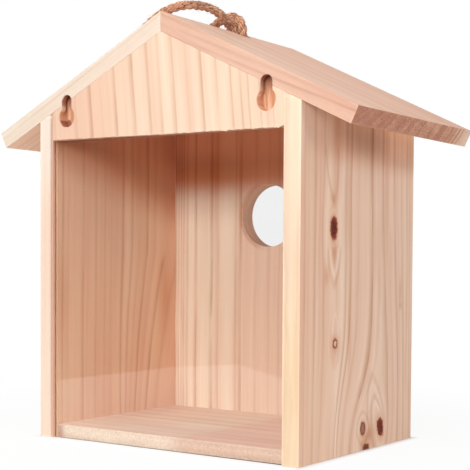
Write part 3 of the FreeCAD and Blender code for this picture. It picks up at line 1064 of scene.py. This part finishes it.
def makeFiller(board, part, places, inward, wide, slope, spec):
    # small plugs with uneven tops
    columns, rows = spec["grid"]
    rate = spec["unevenRate"]
    across = inward.cross(wide)
    shape = bmesh.new()
    for index, place in enumerate(places):
        seed = index * spec["seedStep"]
        made = bmesh.ops.create_grid(shape, x_segments=columns, y_segments=rows, size=0.5)["verts"]
        for vertex in made:
            x, y = vertex.co.x * spec["width"], vertex.co.y * spec["thickness"]
            sunk = spec["sunk"] + spec["uneven"] * noise.noise((x * rate + seed, y * rate, seed))
            vertex.co = (Vector(place) + wide * x + across * y + inward * (sunk + slope * x)) * mm
        faces = list({face for vertex in made for face in vertex.link_faces})
        pushOut(shape, bmesh.ops.extrude_face_region(shape, geom=faces), inward * spec["depth"] * mm)
    bmesh.ops.recalc_face_normals(shape, faces=shape.faces[:])
    name = part + "_filler"
    piece = addObject(name, meshFromBmesh(name, shape), "house")
    piece.data.materials.append(nodes[board].data.materials[0])


def fillBrads(spec):
    sidePlaces = [(y, spec["floorZ"]) for y in spec["sideY"]] + [(spec["frontY"], z) for z in spec["sideZ"]]
    sidePlaces.append(spec["gablePlace"])
    roofPlaces = [(spec["roofX"], y) for y in spec["roofY"]]
    roofPlaces += [(x, y) for x in spec["ridgeX"] for y in spec["ridgeY"]]
    slope = tan(roofPitch)
    right, up = Vector((1, 0, 0)), Vector(upright)
    for side, hand in ((-1, "left"), (1, "right")):
        places = [(side * spec["side"], y, z) for y, z in sidePlaces]
        makeFiller(hand + "_side_panel", hand + "_side", places, right * -side, up, 0, spec)
        places = [(side * x, y, spec["roofTop"] - x * slope) for x, y in roofPlaces]
        makeFiller(hand + "_roof_board", hand + "_roof", places, -up, right, side * slope, spec)


fillBrads(filler)
print("brad holes filled")


# Clear pane

acrylic = {
    "shine": 0.04,  # seen square on
    "edgeHaze": 0.55,
    "passed": (0.965, 0.965, 0.968, 1),  # colour of what is seen through it
    "mirrored": (0.95, 0.97, 0.97, 1),
    "rough": 0.03,
}


def acrylicMaterial(spec):
    material, surface, place = newMaterial("acrylic")
    facing = place.other("Normal")
    flat = abs(facing.node("SeparateXYZ", inputs={0: facing}).other(1))
    slant = place.node("LayerWeight", inputs={"Blend": 0.5}, output="Facing")
    shine = slant ** 5.0 * (1 - spec["shine"]) + spec["shine"]
    share = shine + (1 - flat.rise(0.4, 0.8)) * spec["edgeHaze"]
    clear = place.node("BsdfTransparent", inputs={"Color": spec["passed"]})
    feed(surface, Base_Color=spec["mirrored"], Metallic=1.0, Roughness=spec["rough"])
    mixSurfaces(material, share, clear, Wire(material.node_tree, surface.outputs[0]))
    return material


coat("viewing_pane", acrylicMaterial(acrylic))
print("pane finished")


# Brads

steel = {"dark": tone(120, 112, 106), "light": tone(176, 174, 172), "stainScale": 1.4, "rough": (0.35, 0.3)}


def steelMaterial(spec):
    material, surface, place = newMaterial("brad_steel")
    stain = place.noise(*(side * spec["stainScale"] for side in millimetres(place)), 3.0)
    least, more = spec["rough"]
    feed(surface, Base_Color=blend(stain, spec["dark"], spec["light"]), Metallic=1.0)
    feed(surface, Roughness=least + stain * more)
    return material


bradSteel = steelMaterial(steel)
for bradName in ("left_side_brads", "right_side_brads", "left_roof_brads", "right_roof_brads"):
    coat(bradName, bradSteel)
print("brads finished")


# Floor, backdrop and lamps

studio = {
    "worldLight": 0.20,
    "floorGlow": (0.92, 1.0),  # share of plain white near the object and far out
    "floorFade": (0.12, 0.34),  # metres from the middle
    "floorRadius": 2.0,
    "floorSegments": 96,
    "floorColour": 0.85,
    "foot": {  # darker ground at the box, middle and half size in metres
        "x": (0.0, 0.083), "y": (-0.00375, 0.0575), "shade": 0.85, "reach": 0.0045,
    },
    "paintedContactShadow": {  # painted contact shadow: a dark line under the floor board's edge, darker to the right
        "y": -0.0586, "half": (0.0004, 0.0013), "ends": (0.0730, 0.0735),
        "x": (-0.07, 0.07), "shade": (0.6, 0.38), "colour": tone(40, 34, 30),
    },
    "lamps": {  # degrees round and up, distance and size in metres, watts
        "key": (24.0, 11.0, 1.5, 0.36, 12.6),
        "side": (76.0, 17.0, 2.0, 0.6, 7.0),
        "high": (8.0, 52.0, 1.2, 0.7, 5.4),
        "top": (60.0, 75.0, 1.2, 0.7, 2.7),
        "fill": (-65.0, 45.0, 1.2, 0.7, 3.4),
        "rear": (212.0, 14.0, 1.5, 0.6, 5.0),
    },
    "aim": (0.0, 0.0, 0.10),
    "card": {
        "plan": [(-0.278, 0.0), (-0.278, -0.42), (-0.245, -0.474), (-0.15, -0.398), (0.1, -0.2)],
        "height": 0.9, "colour": tone(70, 64, 60),
    },
}


def makeLamp(name, azimuth, elevation, distance, size, power, aim):
    lamp = bpy.data.lights.new(name, "AREA")
    lamp.size = size
    lamp.energy = power
    away = Matrix.Translation((0, 0, distance))
    addObject(name, lamp).matrix_world = Matrix.Translation(aim) @ looking(azimuth, elevation) @ away


def seenWhite(wire):
    # 1 for the rays that show the backdrop itself
    path = wire.node("LightPath")
    seen = path.maths("MAXIMUM", path.other("Is Camera Ray"), path.other("Is Glossy Ray"))
    return seen.maths("MAXIMUM", seen, path.other("Is Transmission Ray"))


def makeWorld(spec):
    world = bpy.data.worlds.new("studio")
    bpy.context.scene.world = world
    world.use_nodes = True
    tree = world.node_tree
    tree.nodes.clear()
    start = Wire(tree, tree.nodes.new("ShaderNodeTexCoord").outputs["Object"])
    strength = seenWhite(start)
    strength = strength * (1 - spec["worldLight"]) + spec["worldLight"]
    sky = start.node("Background", inputs={"Color": (1, 1, 1, 1), "Strength": strength})
    output = tree.nodes.new("ShaderNodeOutputWorld")
    tree.links.new(sky.out, output.inputs["Surface"])


def makeFloor(spec):
    shape = bmesh.new()
    segments = spec["floorSegments"]
    bmesh.ops.create_circle(shape, cap_ends=True, segments=segments, radius=spec["floorRadius"])
    floor = addObject("studio_floor", meshFromBmesh("studio_floor", shape))
    material, surface, place = newMaterial("studio_floor")
    far = place.node("VectorMath", {"operation": "LENGTH"}, {0: place}, "Value")
    near, out = spec["floorGlow"]
    share = far.rise(*spec["floorFade"]) * (out - near) + near
    foot = spec["foot"]
    (middleX, halfX), (middleY, halfY) = foot["x"], foot["y"]
    x = place.node("SeparateXYZ", inputs={0: place})
    y = x.other(1)
    gap = x.maths("MAXIMUM", abs(x - middleX) - halfX, abs(y - middleY) - halfY)
    share = share - (1 - gap.rise(0.0, foot["reach"])) * foot["shade"]
    # painted contact shadow: the floor's colour darkened in a thin line under the board's edge
    paintedContactShadow = spec["paintedContactShadow"]
    least, more = paintedContactShadow["shade"]
    dark = (1 - abs(y - paintedContactShadow["y"]).rise(*paintedContactShadow["half"])) * (1 - abs(x).rise(*paintedContactShadow["ends"]))
    dark = dark * (x.rise(*paintedContactShadow["x"]) * more + least)
    glow = place.node("Emission", inputs={"Color": (1, 1, 1, 1), "Strength": 1.0})
    plain = (*[spec["floorColour"]] * 3, 1)
    feed(surface, Base_Color=blend(dark, plain, paintedContactShadow["colour"]), Roughness=0.8, Specular_IOR_Level=0.0)
    mixSurfaces(material, seenWhite(place) * share, Wire(material.node_tree, surface.outputs[0]), glow)
    floor.data.materials.append(material)


def makeCard(spec):
    # dark card beside the camera that only mirrors see, so the pane's upper part stays clear
    shape = bmesh.new()
    corners = [shape.verts.new((*place, 0.0)) for place in spec["plan"]]
    edges = [shape.edges.new(pair) for pair in zip(corners, corners[1:])]
    lifted = bmesh.ops.extrude_edge_only(shape, edges=edges)
    pushOut(shape, lifted, (0, 0, spec["height"]))
    card = addObject("studio_card", meshFromBmesh("studio_card", shape))
    material, surface, place = newMaterial("studio_card")
    feed(surface, Base_Color=spec["colour"], Roughness=1.0, Specular_IOR_Level=0.0)
    card.data.materials.append(material)
    for rays in ("camera", "diffuse", "shadow", "transmission"):
        setattr(card, "visible_" + rays, False)


makeWorld(studio)
makeFloor(studio)
makeCard(studio["card"])
for lampName, lampSpec in studio["lamps"].items():
    makeLamp(lampName, *lampSpec, studio["aim"])
bpy.context.scene.view_settings.view_transform = "Standard"
print("studio lit")
